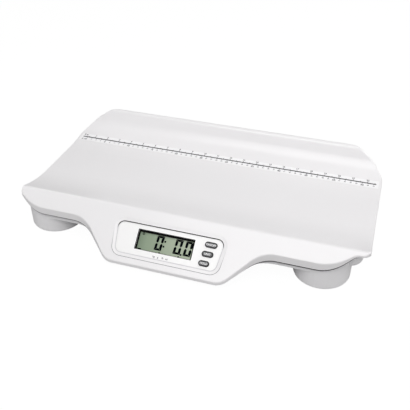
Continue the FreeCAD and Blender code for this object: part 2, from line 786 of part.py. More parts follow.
def make_door():
    """The battery door: a plate with a rail each side and three finger grooves."""
    plate = block("door_plate", ("base_shift - door_half", DOOR_FRONT, "tub_bottom"),
                  ("base_shift + door_half", TUB_BACK_Y, DOOR_TOP))
    half = "(door_half + rail_width - rail_gap)"
    rails = block("door_tongues", (f"base_shift - {half}", DOOR_FRONT, f"{DOOR_TOP} - rail_height"),
                  (f"base_shift + {half}", TUB_BACK_Y, DOOR_TOP))
    grooves = []
    for i in range(3):
        start = f"({TUB_BACK_Y} - groove_inset - {i} * groove_pitch)"
        grooves.append(block(f"door_groove_{i}", ("base_shift - groove_half", start, "tub_bottom - merge"),
                             ("base_shift + groove_half", f"{start} + groove_width",
                              "tub_bottom + groove_depth")))
    solid = gather("fuse", "door_solid", [plate, rails])
    return keep("battery_door", boolean("Cut", "door", solid, gather("fuse", "door_grooves", grooves)))


def make_feet():
    """In each leg: a sliding foot, its rubber sole, the load cell and its holder."""
    for name, (x, y) in LEG_SPOTS.items():
        flange_foot = f"{LEG_FLOOR} + foot_gap / 2"
        flange_top = f"{flange_foot} + foot_flange_height"
        boss_top = f"{LEG_FLOOR} + holder_height - foot_travel - boss_play"
        foot = [("0", "sole_height"), ("foot_hole - foot_gap", "sole_height"),
                ("foot_hole - foot_gap", flange_foot), ("foot_hole + foot_flange", flange_foot),
                ("foot_hole + foot_flange", flange_top), ("foot_boss", flange_top),
                ("foot_boss", boss_top), ("0", boss_top)]
        keep(f"foot_{name}", turned(f"foot_{name}_form", foot, (x, y, "0")))
        keep(f"foot_sole_{name}", rod(f"sole_{name}", "sole_radius", "sole_height", (x, y, "0")))
        keep(f"cell_holder_{name}", cell_holder(name, x, y))
        keep(f"load_cell_{name}", load_cell(name, x, y, f"({LEG_FLOOR} + holder_height)"))


def cell_holder(name, x, y):
    """A square plate on four corner posts, with a window under the load cell's tongue."""
    top = f"({LEG_FLOOR} + holder_height)"
    plate = block(f"holder_plate_{name}",
                  (f"{x} - holder_half", f"{y} - holder_half", f"{top} - holder_plate"),
                  (f"{x} + holder_half", f"{y} + holder_half", top))
    posts = []
    for side, a in (("left", "0 - holder_half"), ("right", "holder_half - holder_post")):
        for depth, b in (("front", "0 - holder_half"), ("back", "holder_half - holder_post")):
            posts.append(block(f"holder_post_{name}_{depth}_{side}", (f"{x} + {a}", f"{y} + {b}", LEG_FLOOR),
                               (f"{x} + {a} + holder_post", f"{y} + {b} + holder_post", top)))
    half = "holder_window / 2"
    window = block(f"holder_window_{name}", (f"{x} - {half}", f"{y} - {half}", LEG_FLOOR),
                   (f"{x} + {half}", f"{y} + {half}", f"{top} + merge"))
    pilots = [rod(f"holder_pilot_{name}_{i}", "small_shaft + pilot_gap", "2 * holder_plate",
                  (*spot, f"{top} - holder_plate - merge"), PIN_SIDES)
              for i, spot in enumerate(cell_screw_spots(x, y))]
    return boolean("Cut", f"holder_{name}", gather("fuse", f"holder_solid_{name}", [plate, *posts]),
                   gather("fuse", f"holder_cuts_{name}", [window, *pilots]))


def cell_screw_spots(x, y):
    """Where a load cell's two screws stand."""
    return [(f"{x} {sign} cell_screw_spacing / 2", f"{y} + cell_screw_spacing / 2") for sign in "-+"]


def load_cell(name, x, y, z):
    """A half-bridge load cell: a square steel plate slotted round a middle tongue."""
    side, reach, outer = "cell_side / 2", "(cell_side / 2 - cell_border)", "(cell_tongue + cell_slot)"
    plate = block(f"cell_plate_{name}", (f"{x} - {side}", f"{y} - {side}", z),
                  (f"{x} + {side}", f"{y} + {side}", f"{z} + cell_height"))
    slots = [((f"0 - {outer}", f"0 - {reach}"), ("0 - cell_tongue", reach)),
             (("cell_tongue", f"0 - {reach}"), (outer, reach)),
             ((f"0 - {outer}", f"0 - {reach}"), (outer, f"cell_slot - {reach}"))]
    cuts = [block(f"cell_slot_{name}_{i}", (f"{x} + {low[0]}", f"{y} + {low[1]}", f"{z} - merge"),
                  (f"{x} + {high[0]}", f"{y} + {high[1]}", f"{z} + cell_height + merge"))
            for i, (low, high) in enumerate(slots)]
    cuts += [rod(f"cell_hole_{name}_{i}", "small_shaft + hole_gap", "2 * cell_height",
                 (*spot, f"{z} - merge"), PIN_SIDES) for i, spot in enumerate(cell_screw_spots(x, y))]
    return boolean("Cut", f"cell_{name}", plate, gather("fuse", f"cell_cuts_{name}", cuts))


def make_panel():
    """The glossy control panel plate in the recess, with its display window and button holes."""
    inset = "(recess_bevel + plate_gap)"
    plate, _ = recess_form("panel_form", inset, "plate_thick", f"recess_round - {inset}", reverse=False)
    on_panel(plate, ("0", "0", "glue_gap - recess_depth"))
    window = panel_block("panel_window", ("window_left", "window_top", "0 - 2 * recess_depth"),
                         ("window_left + window_length", "window_top + window_height", "recess_depth"))
    holes = []
    for index in range(3):
        side, down, length = key_spot(index)
        holes.append(pill(f"panel_hole_{index}", (side, down), length, "key_height",
                          "0 - 2 * recess_depth", "recess_depth", "key_gap"))
    keep("panel_plate", boolean("Cut", "panel", plate, gather("fuse", "panel_holes", [window, *holes])))


def window_block(name, low, high, left, right=None, top=None, bottom=None):
    """A block in the window's place, each edge moved inward by its own distance."""
    right, top, bottom = right or left, top or left, bottom or left
    return panel_block(name, (f"window_left + {left}", f"window_top + {top}", low),
                       (f"window_left + window_length - {right}",
                        f"window_top + window_height - {bottom}", high))


def make_display():
    """The black frame behind the window, the display glass in it, and its contact strips."""
    through = "0 - 2 * board_depth"
    outer = window_block("frame_outer", "0 - board_depth", "0 - recess_depth - glue_gap",
                         "(frame_gap - frame_border)")
    sight = window_block("frame_sight", through, "tray_wall", "lip_left", "lip_right", "lip_top", "lip_small")
    room = window_block("frame_room", through, "0 - glass_top", "frame_gap")
    keep("lcd_frame", boolean("Cut", "lcd_frame_cut", outer, gather("fuse", "frame_cuts", [sight, room])))
    keep("lcd_glass", window_block("lcd_glass_block", "0 - glass_top - glass_thick", "0 - glass_top",
                                   "(2 * frame_gap)"))
    rows = ("(window_top + strip_inset)", "(window_top + window_height - strip_inset - strip_width)")
    strips = [panel_block(f"strip_{i}", ("window_left + strip_end", row, "0 - board_depth"),
                          ("window_left + window_length - strip_end", f"{row} + strip_width",
                           "0 - glass_top - glass_thick")) for i, row in enumerate(rows)]
    keep("lcd_strips", gather("group", "strips", strips))


def make_board():
    """The main board under the panel, its chip, buzzer and plug, and the switches under the buttons."""
    board = panel_block("board_blank", ("0 - board_half", "board_top", BOARD_BACK),
                        ("board_half", "board_top + board_height", "0 - board_depth"))
    drills = [panel_rod(f"board_drill_{i}", "small_shaft + hole_gap", "0 - 2 * board_depth", "0", spot,
                        PIN_SIDES) for i, spot in enumerate(BOARD_SPOTS)]
    keep("main_board", boolean("Cut", "board", board, gather("fuse", "board_drills", drills)))
    chip = doc.addObject("Part::Cone", "chip")
    bind(chip, Radius1="chip_radius * 0.7", Radius2="chip_radius", Height="chip_height")
    keep("driver_chip", on_panel(chip, ("chip_side", "board_top + chip_down", f"{BOARD_BACK} - chip_height")))
    keep("buzzer", panel_rod("buzzer_can", "buzzer_radius", f"{BOARD_BACK} - buzzer_height", BOARD_BACK,
                             ("buzzer_side", "board_top + buzzer_down")))
    keep("cell_plug", panel_block("plug",
                                  ("plug_side", "board_top + plug_down", f"{BOARD_BACK} - plug_height"),
                                  ("plug_side + plug_length", "board_top + plug_down + plug_width",
                                   BOARD_BACK)))
    bases = []
    for index in range(3):
        side, down, _ = key_spot(index)
        half = "switch_side / 2"
        base = panel_block(f"switch_base_{index}",
                           (f"{side} - {half}", f"{down} - {half}", "0 - board_depth"),
                           (f"{side} + {half}", f"{down} + {half}", "switch_height - board_depth"))
        well = panel_rod(f"switch_well_{index}", "plunger_radius + plunger_gap",
                         "switch_floor - board_depth", "0", (side, down), PIN_SIDES)
        bases.append(boolean("Cut", f"switch_{index}", base, well))
    keep("tact_switches", gather("group", "switches", bases))


KEY_NAMES = ("power", "unit", "hold")


def make_keys():
    """Three pill-shaped buttons with a flange behind the apron, each over its switch's plunger."""
    flange_top = "(0 - tray_wall - key_rest_gap)"
    flange_low = f"({flange_top} - key_flange_thick)"
    face = "glue_gap - recess_depth + plate_thick + key_proud"
    pin_low = "switch_floor - board_depth + key_travel + pin_play"
    for index, name in enumerate(KEY_NAMES):
        side, down, length = key_spot(index)
        cap = pill(f"key_cap_{name}", (side, down), length, "key_height", flange_low, face)
        flange = pill(f"key_flange_{name}", (side, down), f"({length} + 2 * key_flange)",
                      "(key_height + 2 * key_flange)", flange_low, flange_top)
        keep(f"key_{name}", gather("fuse", f"key_{name}_solid", [cap, flange]))
        keep(f"plunger_{name}", panel_rod(f"plunger_{name}_pin", "plunger_radius", pin_low, flange_low,
                                          (side, down), PIN_SIDES))


def leaf_spring(index, row, z, flip):
    """A bent leaf between the contact plate and the flat end of a battery."""
    room = "(2 * box_half - 2 * contact_thick - battery_length - battery_nub - 2 * contact_gap)"
    back = "(box_half - contact_thick)"
    tip = f"({back} - {room})"
    outer = [(back, "leaf_half"), (tip, "leaf_tip")]
    inner = [(f"{tip} + leaf_thick", "leaf_tip - leaf_thick / 2"), (back, "leaf_half - leaf_thick")]
    outline = outer + [(x, f"0 - ({y})") for x, y in outer[::-1] + inner[::-1]] + inner
    side = "" if flip else "0 - "
    corners = [(f"{side}({a})", b) for a, b in outline]
    leaf = body(f"leaf_{index}")
    grow(leaf, f"leaf_pad_{index}", polygon(leaf, f"leaf_outline_{index}", "XY_Plane", corners),
         "leaf_width", symmetric=True)
    bind(leaf, Placement__Base__x="base_shift", Placement__Base__y=row, Placement__Base__z=z)
    return leaf


def make_batteries():
    """Four cells side by side, their springs and contact plates."""
    middle = f"({DOOR_TOP} + door_gap + battery_radius + battery_gap)"
    tip = "(box_half - contact_thick - contact_gap)"
    plates, springs = [], []
    for index in range(int(size("cell_count"))):
        y = f"({BOX_FRONT} + battery_room + battery_pitch * ({index} + 0.5))"
        flip = bool(index % 2)
        turn = Rotation(Vector(0, 1, 0), -90 if flip else 90)
        can = bar(f"cell_can_{index}", "battery_radius", "battery_length")
        nub = bar(f"cell_nub_{index}", "battery_radius * 0.38", "battery_nub + merge", PIN_SIDES)
        for thing, back in ((can, "(battery_length + battery_nub)"), (nub, "(battery_nub + merge)")):
            thing.Placement = Placement(Vector(0, 0, 0), turn)
            bind(thing, Placement__Base__x=f"base_shift {'-' if flip else '+'} ({tip} - {back})")
            bind(thing, Placement__Base__y=y, Placement__Base__z=middle)
        keep(f"battery_{index + 1}", gather("fuse", f"battery_solid_{index}", [can, nub]))
        spans = (("left", "0 - box_half", "contact_thick - box_half"),
                 ("right", "box_half - contact_thick", "box_half"))
        for side, low, high in spans:
            plates.append(block(f"contact_{index}_{side}",
                                (f"base_shift + {low}", f"{y} - contact_half", f"{middle} - contact_half"),
                                (f"base_shift + {high}", f"{y} + contact_half", f"{middle} + contact_half")))
        springs.append(leaf_spring(index, y, middle, flip))
    keep("contact_plates", gather("group", "contacts", plates))
    keep("battery_springs", gather("group", "springs", springs))


def make_screws():
    """Six shell screws, four board screws and two screws at every load cell."""
    screws = []
    for i, (x, y) in enumerate(SCREW_SPOTS):
        pin = rod(f"shell_pin_{i}", "screw_shaft", "screw_length + merge", (x, y, "screw_seat - merge"),
                  PIN_SIDES)
        head = rod(f"shell_head_{i}", "screw_head", "screw_head_height",
                   (x, y, "screw_seat - screw_head_height"))
        screws.append(gather("fuse", f"shell_screw_{i}", [pin, head]))
    keep("shell_screws", gather("group", "shell_screw_set", screws))
    screws = []
    for i, spot in enumerate(BOARD_SPOTS):
        pin = panel_rod(f"board_pin_{i}", "small_shaft", f"{BOARD_BACK} - merge", f"{BOARD_BACK} + small_pin",
                        spot, PIN_SIDES)
        head = panel_rod(f"board_head_{i}", "small_head", f"{BOARD_BACK} - small_head_height",
                         BOARD_BACK, spot)
        screws.append(gather("fuse", f"board_screw_{i}", [pin, head]))
    keep("board_screws", gather("group", "board_screw_set", screws))
    screws = []
    top = f"({LEG_FLOOR} + holder_height + cell_height)"
    for name, (x, y) in LEG_SPOTS.items():
        for i, spot in enumerate(cell_screw_spots(x, y)):
            pin = rod(f"cell_pin_{name}_{i}", "small_shaft", "cell_height + holder_plate",
                      (*spot, f"{top} - cell_height - holder_plate + merge"), PIN_SIDES)
            head = rod(f"cell_head_{name}_{i}", "small_head", "small_head_height", (*spot, top))
            screws.append(gather("fuse", f"cell_screw_{name}_{i}", [pin, head]))
    keep("cell_screws", gather("group", "cell_screw_set", screws))


for make in (make_tray, make_lower_shell, make_door, make_feet, make_panel, make_display, make_board,
             make_keys, make_batteries, make_screws):
    make()
    check(make.__name__)

os.makedirs("parts", exist_ok=True)
for label, thing in PARTS.items():
    shape = thing.Shape
    if shape.isNull() or not shape.isValid() or not shape.Solids:
        raise RuntimeError(f"{label} has no valid solid")
    print(label, len(shape.Solids), round(shape.Volume))
for label, thing in PARTS.items():
    thing.Shape.exportStep(f"parts/{label}.step")
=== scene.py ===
"""A digital baby weighing scale, dressed around its packed construction.

Everything is in metres in the scale's own frame: X along the tray to the right, Y to the back, Z up,
with the origin on the table under the middle of the tray. New pieces are surfaces and flat prints
worked out with numpy; the finishes are procedural and read Object coordinates.
"""

import json
import math

import bpy
import numpy as np
from mathutils import Matrix, Vector


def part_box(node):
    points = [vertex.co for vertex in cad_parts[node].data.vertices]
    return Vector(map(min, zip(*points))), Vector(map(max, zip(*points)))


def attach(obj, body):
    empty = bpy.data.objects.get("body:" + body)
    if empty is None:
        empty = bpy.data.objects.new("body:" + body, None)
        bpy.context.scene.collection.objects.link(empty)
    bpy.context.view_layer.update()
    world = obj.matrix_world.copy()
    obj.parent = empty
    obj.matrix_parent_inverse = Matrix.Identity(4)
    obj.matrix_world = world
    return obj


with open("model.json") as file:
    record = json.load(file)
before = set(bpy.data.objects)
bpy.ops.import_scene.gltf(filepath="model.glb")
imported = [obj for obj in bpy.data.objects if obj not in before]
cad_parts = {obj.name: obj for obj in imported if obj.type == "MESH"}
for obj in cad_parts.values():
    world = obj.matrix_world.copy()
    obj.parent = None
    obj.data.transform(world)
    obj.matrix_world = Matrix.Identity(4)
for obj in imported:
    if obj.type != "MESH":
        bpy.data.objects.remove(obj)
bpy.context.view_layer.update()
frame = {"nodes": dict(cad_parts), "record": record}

MM = 0.001

# ---------------------------------------------------------------- places on the scale

PANEL_MIDDLE = -15.5 * MM        # the display housing's middle, left of the tray's
CREST = Vector((PANEL_MIDDLE, -99.8 * MM, 76.0 * MM))
APRON_TILT = math.radians(41.3)
DOWN = Vector((0, -math.cos(APRON_TILT), -math.sin(APRON_TILT)))
OUT = Vector((0, -math.sin(APRON_TILT), math.cos(APRON_TILT)))
PANEL_TOP = -1.1 * MM            # the panel sheet's face, below the apron's
GLASS_TOP = -4.0 * MM            # the display glass
KEY_FACE = 0.5 * MM              # the buttons' faces, above the apron's
KEY_FIRST = 70.1 * MM            # the first button's middle, then each next one's steps
KEY_FIRST_DOWN = 36.9 * MM
KEY_STEP = -2.55 * MM
KEY_PITCH = 15.4 * MM
KEY_HALF = 10.0 * MM             # half the first button's length, each next one's less, its round end
KEY_SHRINK = 0.625 * MM
KEY_ROUND = 4.5 * MM
WINDOW_LEFT = -52.6 * MM         # the display window, from the panel's middle and from the crest
WINDOW_TOP = 34.4 * MM
WINDOW_LENGTH = 95.8 * MM
WINDOW_HEIGHT = 32.7 * MM
RECESS_TOP = 19.5 * MM           # the recess's outer edge, and its inner one beyond the bevel
RECESS_LENGTH = 64.0 * MM
RECESS_TOP_HALF = 98.5 * MM
RECESS_END_HALF = 90.5 * MM
RECESS_ROUND = 17.0 * MM
RECESS_BEVEL = 6.0 * MM

SKIRT_FRONT = (-170.0 * MM, 8.9 * MM)    # y and z of the skirt's lower edge: at the display housing,
SKIRT_LOBE = (-123.8 * MM, 42.5 * MM)    # at the lobes' front
SKIRT_EAR = (-105.6 * MM, 68.0 * MM)     # and where it runs into the crest
SHADOW_STRIP_SPANS = ((-286 * MM, -118 * MM), (106 * MM, 286 * MM))   # the strips of painted shadow under the skirt, from x to x

RULER_Y = 107.2 * MM
RULER_START = -287.0 * MM
RULER_LENGTH = 574.0 * MM
PRINT_LIFT = 0.12 * MM           # how far ink stands off the tray, the panel and keys, and the glass
PANEL_LIFT = 0.06 * MM
GLASS_LIFT = 0.15 * MM

BODY = "scale_body"


# ---------------------------------------------------------------- shader building


class Wire:
    """One output of a shader node. Arithmetic on it adds the Math nodes that work it out."""

    def __init__(self, paint, socket):
        self.paint = paint
        self.socket = socket

    def _with(self, operation, first, second):
        return self.paint.node("ShaderNodeMath", {"operation": operation}, {0: first, 1: second})

    def __add__(self, other):
        return self._with("ADD", self, other)

    def __sub__(self, other):
        return self._with("SUBTRACT", self, other)

    def __mul__(self, other):
        return self._with("MULTIPLY", self, other)

    def __truediv__(self, other):
        return self._with("DIVIDE", self, other)

    def __rsub__(self, other):
        return self._with("SUBTRACT", other, self)

    def __pow__(self, other):
        return self._with("POWER", self, other)

    __radd__ = __add__
    __rmul__ = __mul__

    def between(self, low, high):
        """0 below low, 1 above high, and smooth in between."""
        return self.paint.node("ShaderNodeMapRange", {"interpolation_type": "SMOOTHSTEP"},
                               {0: self, 1: low, 2: high})


class Paint:
    """A material in the making: a Principled shader and the nodes that feed it."""

    def __init__(self, name, **steady):
        self.material = bpy.data.materials.new(name)
        self.material.use_nodes = True
        self.tree = self.material.node_tree
        self.shader = self.tree.nodes["Principled BSDF"]
        for key, value in steady.items():
            self.set(key.replace("_", " ").title().replace("Ior", "IOR"), value)
        self.where = self.node("ShaderNodeTexCoord", output="Object")

    def node(self, kind, settings=None, inputs=None, output=0):
        """Add a node: its settings first, then the values or links of its sockets."""
        made = self.tree.nodes.new(kind)
        for key, value in (settings or {}).items():
            setattr(made, key, value)
        for key, value in (inputs or {}).items():
            self._feed(made.inputs[key], value)
        return Wire(self, made.outputs[output])

    def _feed(self, socket, value):
        if isinstance(value, Wire):
            self.tree.links.new(value.socket, socket)
        elif hasattr(value, "__len__") and len(value) == 3 and socket.type == "RGBA":
            socket.default_value = (*value, 1.0)
        else:
            socket.default_value = value

    def set(self, name, value):
        self._feed(self.shader.inputs[name], value)
        return self

    def noise(self, scale, detail=2.0, roughness=0.5, stretch=None):
        """Cloudy noise from 0 to 1, finer with a larger scale (per metre)."""
        where = self.where
        if stretch:
            where = self.node("ShaderNodeMapping", None, {"Vector": where, "Scale": stretch})
        return self.node("ShaderNodeTexNoise", None,
                         {"Vector": where, "Scale": scale, "Detail": detail, "Roughness": roughness})

    def blend(self, mask, first, second):
        """The first colour where the mask is 0, the second where it is 1."""
        made = self.tree.nodes.new("ShaderNodeMix")
        made.data_type = "RGBA"
        for socket, value in zip((made.inputs[0], made.inputs[6], made.inputs[7]), (mask, first, second)):
            self._feed(socket, value)
        return Wire(self, made.outputs[2])

    def relief(self, height, depth, strength=1.0):
        """Feed the shader's normal from a height from 0 to 1, depth metres deep."""
        bump = self.node("ShaderNodeBump", None,
                         {"Height": height, "Distance": depth, "Strength": strength})
        return self.set("Normal", bump)

    def axes(self):
        """The x, y and z of a point of the surface."""
        split = self.node("ShaderNodeSeparateXYZ", None, {0: self.where})
        return [Wire(self, split.socket.node.outputs[i]) for i in range(3)]


def moulded(name, colour, shade, roughness=0.3, coat=0.12):
    """Moulded ABS: a faint cloud of shade from flow in the mould, fine spark-eroded grain, light scuffs."""
    paint = Paint(name, coat_weight=coat, coat_roughness=0.12)
    cloud = paint.noise(5.0, detail=3.0).between(0.35, 0.7)
    paint.set("Base Color", paint.blend(cloud * 0.6, colour, shade))
    grain = paint.noise(2600.0, detail=1.0)
    wear = paint.noise(38.0, detail=5.0, roughness=0.65).between(0.52, 0.8)
    paint.set("Roughness", grain * 0.08 + wear * 0.07 + (roughness - 0.05))
    paint.relief(grain, 0.00003, 0.35)
    return paint.material


def make_white_finishes():
    """The white and pale mouldings."""
    return {
        "tray_white": moulded("tray_white", (0.905, 0.893, 0.902), (0.885, 0.871, 0.882)),
        "base_white": moulded("base_white", (0.935, 0.925, 0.938), (0.90, 0.89, 0.905), 0.34),
        "foot_plastic": moulded("foot_plastic", (0.84, 0.85, 0.865), (0.80, 0.81, 0.828), 0.4),
        "panel_white": moulded("panel_white", (0.985, 0.98, 0.977), (0.97, 0.965, 0.963), 0.3, 0.15),
    }


def flat_colour(name, colour, roughness, mottling=0.12, scale=300.0, **steady):
    """A plain part with a little mottling in colour and gloss, and fine relief."""
    paint = Paint(name, **steady)
    cloud = paint.noise(scale, detail=3.0)
    dark = tuple(c * (1 - mottling) for c in colour)
    paint.set("Base Color", paint.blend(cloud, colour, dark))
    paint.set("Roughness", cloud * 0.12 + (roughness - 0.06))
    paint.relief(paint.noise(scale * 8), 0.00004, 0.3)
    return paint.material


def brushed(name, colour, roughness):
    """Ground steel: fine streaks along X in gloss and relief."""
    paint = Paint(name, metallic=1.0)
    streak = paint.noise(60.0, detail=4.0, stretch=(1.0, 30.0, 30.0))
    paint.set("Base Color", paint.blend(streak, colour, tuple(c * 0.85 for c in colour)))
    paint.set("Roughness", streak * 0.2 + (roughness - 0.1))
    paint.relief(streak, 0.00003, 0.3)
    return paint.material


def display_glass():
    """Grey-green display glass: darker at its left and top, in the frame's shadow, paler to the right."""
    paint = Paint("display_glass", coat_weight=0.25, coat_roughness=0.05)
    x, _, z = paint.axes()
    low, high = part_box("lcd_glass")
    across = (x - low.x) / (high.x - low.x)
    upward = (z - low.z) / (high.z - low.z)
    shade = across.between(0.18, 0.0) * 0.5 + upward.between(0.8, 1.0) * 0.6
    tone = paint.blend(across, (0.250, 0.325, 0.225), (0.325, 0.385, 0.262))
    paint.set("Base Color", paint.blend(shade, tone, (0.16, 0.21, 0.145)))
    paint.set("Roughness", paint.noise(90.0) * 0.06 + 0.16)
    paint.relief(paint.noise(1500.0), 0.00001, 0.2)
    return paint.material


def slope_distance(paint):
    """How far down the apron a point lies from the crest, in metres."""
    _, y, z = paint.axes()
    return (y - CREST.y) * DOWN.y + (z - CREST.z) * DOWN.z


def key_rubber():
    """Grey silicone keys with painted light: a painted highlight makes the crowned middle paler, and
    painted shade makes the edge round each pill near black.

    A point's row says which button it is on, and so where that pill's middle lies. Its distance from the
    pill's middle line, over the radius of its round ends, is 1 at the edge.
    """
    paint = Paint("key_grey", coat_weight=0.06, coat_roughness=0.3, specular_ior_level=0.2)
    row = (slope_distance(paint) - KEY_FIRST_DOWN) / KEY_PITCH + 0.5
    index = paint.node("ShaderNodeMath", {"operation": "FLOOR"}, {0: row})
    down = (row - index - 0.5) * KEY_PITCH
    side = paint.axes()[0] - (PANEL_MIDDLE + KEY_FIRST) - index * KEY_STEP
    past = paint.node("ShaderNodeMath", {"operation": "ABSOLUTE"}, {0: side}) - (KEY_HALF - KEY_ROUND)
    past = past + index * KEY_SHRINK
    past = paint.node("ShaderNodeMath", {"operation": "MAXIMUM"}, {0: past, 1: 0.0})
    edge = ((past * past + down * down) ** 0.5) / KEY_ROUND
    # painted light: a painted highlight on each key's crowned middle and painted shade round its edge, as a
    # domed key is lit
    highlight_mask = edge.between(0.85, 0.3)
    fleck = paint.noise(700.0, detail=3.0)
    painted_shade_tone, painted_highlight_tone = (0.004, 0.004, 0.005), (0.20, 0.20, 0.205)
    paint.set("Base Color", paint.blend(highlight_mask * 0.9 + fleck * 0.1, painted_shade_tone, painted_highlight_tone))
    paint.set("Roughness", fleck * 0.15 + 0.3)
    paint.relief(paint.noise(3200.0), 0.00003, 0.3)
    return paint.material


def panel_line(name, upper, lower, start, stop):
    """A line round the panel sheet in painted shade: its tone goes from upper to lower between start and
    stop, as light falls into the recess.

    Both are distances down the apron from the recess's upper edge, where painted shade lies in its bevel.
    """
    paint = Paint(name, specular_ior_level=0.1)
    fall = slope_distance(paint).between(RECESS_TOP + start, RECESS_TOP + stop)
    speck = paint.noise(400.0)
    # painted shade: darker where the recess's wall faces away from the light, paler where light falls on it
    tone = paint.blend(fall, upper, lower)
    paint.set("Base Color", paint.blend(speck * 0.1, tone, (0.05, 0.05, 0.05)))
    paint.set("Roughness", speck * 0.1 + 0.6)
    return paint.material


def seal_grey():
    """The painted shadow under the skirt's rim: near black at the middle and right, paler to the left,
    where painted light reaches into it.
    """
    paint = Paint("seal_grey", specular_ior_level=0.1)
    across = paint.axes()[0].between(-300 * MM, 20 * MM)
    speck = paint.noise(500.0)
    lit_left_tone, shaded_right_tone = (0.36, 0.35, 0.37), (0.045, 0.043, 0.048)
    # painted shadow, paler to the left where light reaches in under the rim
    paint.set("Base Color", paint.blend(across - speck * 0.1, lit_left_tone, shaded_right_tone))
    paint.set("Roughness", speck * 0.1 + 0.65)
    return paint.material


def make_small_finishes():
    """The display, the prints, the keys, and the rubber, metal and inner parts."""
    return {
        "frame_black": flat_colour("frame_black", (0.003, 0.003, 0.003), 0.5, specular_ior_level=0.03),
        "display_glass": display_glass(),
        "display_ink": flat_colour("display_ink", (0.001, 0.002, 0.003), 0.6, specular_ior_level=0.02),
        "ruler_ink": flat_colour("ruler_ink", (0.035, 0.033, 0.042), 0.5, mottling=0.3, scale=900.0),
        "ruler_band": flat_colour("ruler_band", (0.985, 0.978, 0.988), 0.35, mottling=0.01),
        "key_grey": key_rubber(),
        "legend_grey": flat_colour("legend_grey", (0.90, 0.90, 0.91), 0.5, mottling=0.04),
        "panel_print": flat_colour("panel_print", (0.22, 0.21, 0.24), 0.45),
        # painted shade: the lines round the panel sheet, darker where the recess lies in shadow
        "joint_shade_line": panel_line("joint_shade_line", (0.008, 0.008, 0.009), (0.76, 0.75, 0.77),
                                 10 * MM, 22 * MM),
        "bevel_shade_line": panel_line("bevel_shade_line", (0.92, 0.91, 0.92), (0.30, 0.295, 0.31),
                                 18 * MM, 58 * MM),
        "sole_rubber": flat_colour("sole_rubber", (0.20, 0.20, 0.205), 0.75, scale=500.0),
        "seal_grey": seal_grey(),
        "soft_grey": flat_colour("soft_grey", (0.12, 0.12, 0.125), 0.7),
        "part_black": flat_colour("part_black", (0.02, 0.02, 0.022), 0.45),
        "plug_white": flat_colour("plug_white", (0.74, 0.72, 0.66), 0.5),
        "board_green": flat_colour("board_green", (0.02, 0.14, 0.05), 0.35),
        "battery_jacket": flat_colour("battery_jacket", (0.07, 0.08, 0.11), 0.3, coat_weight=0.3),
        "cell_steel": brushed("cell_steel", (0.56, 0.56, 0.57), 0.35),
        "contact_metal": brushed("contact_metal", (0.70, 0.69, 0.66), 0.28),
        "screw_steel": brushed("screw_steel", (0.52, 0.52, 0.53), 0.35),
    }


FINISHES = {**make_white_finishes(), **make_small_finishes()}


def dress_nodes():
    """Give every node of the construction the finish its record names."""
    slots = {part["node"]: part["material_slot"] for part in frame["record"]["subparts"]}
    for name, node in frame["nodes"].items():
        finish = FINISHES[slots[name]]
        if not node.material_slots:
            node.data.materials.append(finish)
        for slot in node.material_slots:
            slot.material = finish


# ---------------------------------------------------------------- prints and display digits


def add_piece(name, points, faces, finish, body=BODY):
    """A mesh piece from an (n, 3) array of points and its faces, riding on a body."""
    mesh = bpy.data.meshes.new(name)
    mesh.from_pydata(np.asarray(points, float).tolist(), [], [list(map(int, face)) for face in faces])
    mesh.update()
    mesh.materials.append(FINISHES[finish])
    piece = bpy.data.objects.new(name, mesh)
    bpy.context.scene.collection.objects.link(piece)
    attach(piece, body)
    return piece


def tray_heights():
    """The tray's top surface along Y, read from its node by dropping rays beside the middle."""
    tray = frame["nodes"]["tray_shell"]
    reach, beside, above = 12 * MM, 3 * MM, 300 * MM
    ys = np.linspace(RULER_Y - reach, RULER_Y + reach, 49)
    found = [tray.ray_cast(Vector((beside, y, above)), Vector((0, 0, -1)))[1].z for y in ys]
    return ys, np.array(found)


def on_tray(lift):
    """A function that lays (x, y) points on the tray's surface, lift above it."""
    def lay(flat):
        return np.column_stack([flat, np.interp(flat[:, 1], *TRAY_HEIGHTS) + lift])
    return lay


def on_panel(out):
    """A function that lays (side, down) points on a plane that far out from the apron."""
    def lay(flat):
        base = np.array(CREST + OUT * out)
        return base + flat[:, :1] * np.array([1.0, 0, 0]) + flat[:, 1:2] * np.array(DOWN)
    return lay


BOLD = 0.035                     # how much a figure's strokes are thickened, per unit of its height
FONT_SIZE = 1.38                 # the font's size for a figure one unit high


class Print:
    """Flat shapes gathered into one thin print: bars, polygons and plain figures."""

    def __init__(self):
        self.points = []
        self.faces = []

    def polygon(self, corners):
        """One flat face."""
        start = len(self.points)
        self.points.extend(corners)
        self.faces.append(list(range(start, start + len(corners))))

    def bar(self, x0, y0, x1, y1):
        """A rectangle between two opposite corners."""
        self.polygon([(x0, y0), (x1, y0), (x1, y1), (x0, y1)])

    def words(self, text, x, y, height, align="CENTER", flip=False):
        """Figures from the built-in font, made a mesh and copied in; flip for a plane whose y runs down."""
        curve = bpy.data.curves.new("figures", "FONT")
        curve.body = text
        curve.size = height * FONT_SIZE
        curve.align_x = align
        curve.offset = height * BOLD
        curve.resolution_u = 3
        shown = bpy.data.objects.new("figures", curve)
        bpy.context.scene.collection.objects.link(shown)
        bpy.context.view_layer.update()
        mesh = bpy.data.meshes.new_from_object(shown)
        start = len(self.points)
        sign = -1 if flip else 1
        self.points.extend((x + v.co.x, y + sign * v.co.y) for v in mesh.vertices)
        self.faces.extend([start + i for i in face.vertices][::sign] for face in mesh.polygons)
        bpy.data.objects.remove(shown)
        bpy.data.curves.remove(curve)
        bpy.data.meshes.remove(mesh)

    def lay(self, name, place, finish, body=BODY):
        """Put the print on its surface as one piece."""
        flat = np.array(self.points, float)
        return add_piece(name, place(flat), self.faces, finish, body)


